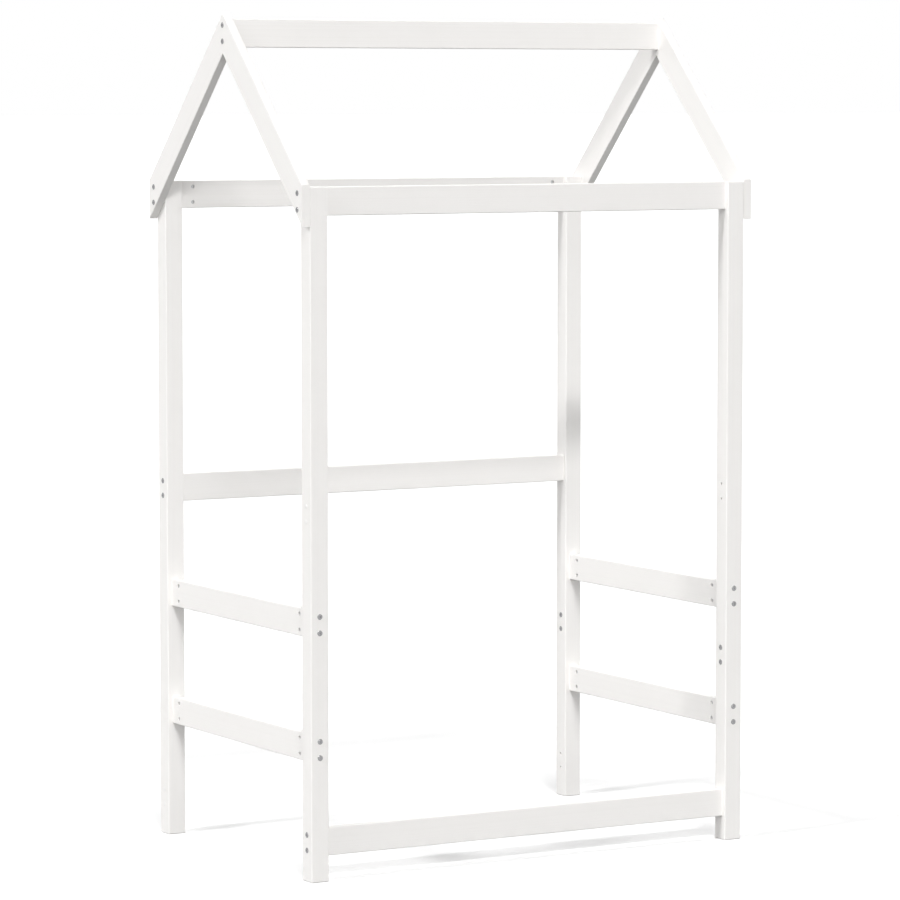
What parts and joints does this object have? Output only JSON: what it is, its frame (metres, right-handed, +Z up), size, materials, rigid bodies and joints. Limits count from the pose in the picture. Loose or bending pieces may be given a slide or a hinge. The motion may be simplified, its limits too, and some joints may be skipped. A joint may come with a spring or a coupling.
{
  "type": "house daybed",
  "caption": "White timber house frame for a child's daybed: square posts, rails on the back, front and ends, and a pitched roof of two gables and a ridge, with bolts for a bed on one side.",
  "frame": {"origin": "middle of the frame's footprint, on the floor under the posts", "axes": "+X along the front towards the end with the bed bolts, +Y from the front to the back, +Z up"},
  "size_m": [1.3034, 0.8434, 2.12],
  "materials": {
    "painted_wood": "white satin paint on pine",
    "bolt_steel": "zinc-plated",
    "nut_steel": "zinc-plated",
    "cap_plastic": "white satin"
  },
  "bodies": {
    "root": {"front_left_post": "painted_wood", "front_right_post": "painted_wood", "rear_left_post": "painted_wood", "rear_right_post": "painted_wood", "front_top_rail": "painted_wood", "rear_top_rail": "painted_wood", "rear_middle_rail": "painted_wood", "front_bottom_rail": "painted_wood", "left_lower_end_rail": "painted_wood", "left_upper_end_rail": "painted_wood", "right_lower_end_rail": "painted_wood", "right_upper_end_rail": "painted_wood", "ridge_beam": "painted_wood", "left_front_rafter": "painted_wood", "left_rear_rafter": "painted_wood", "right_front_rafter": "painted_wood", "right_rear_rafter": "painted_wood", "end_rail_bolts": "bolt_steel", "end_rail_nuts": "nut_steel", "middle_rail_bolts": "bolt_steel", "middle_rail_nuts": "nut_steel", "bottom_rail_bolts": "bolt_steel", "bottom_rail_nuts": "nut_steel", "eaves_bolts": "bolt_steel", "top_rail_nuts": "nut_steel", "ridge_bolts": "bolt_steel", "ridge_nuts": "nut_steel", "bed_bolts": "bolt_steel", "hole_caps": "cap_plastic"}
  },
  "joints": []
}
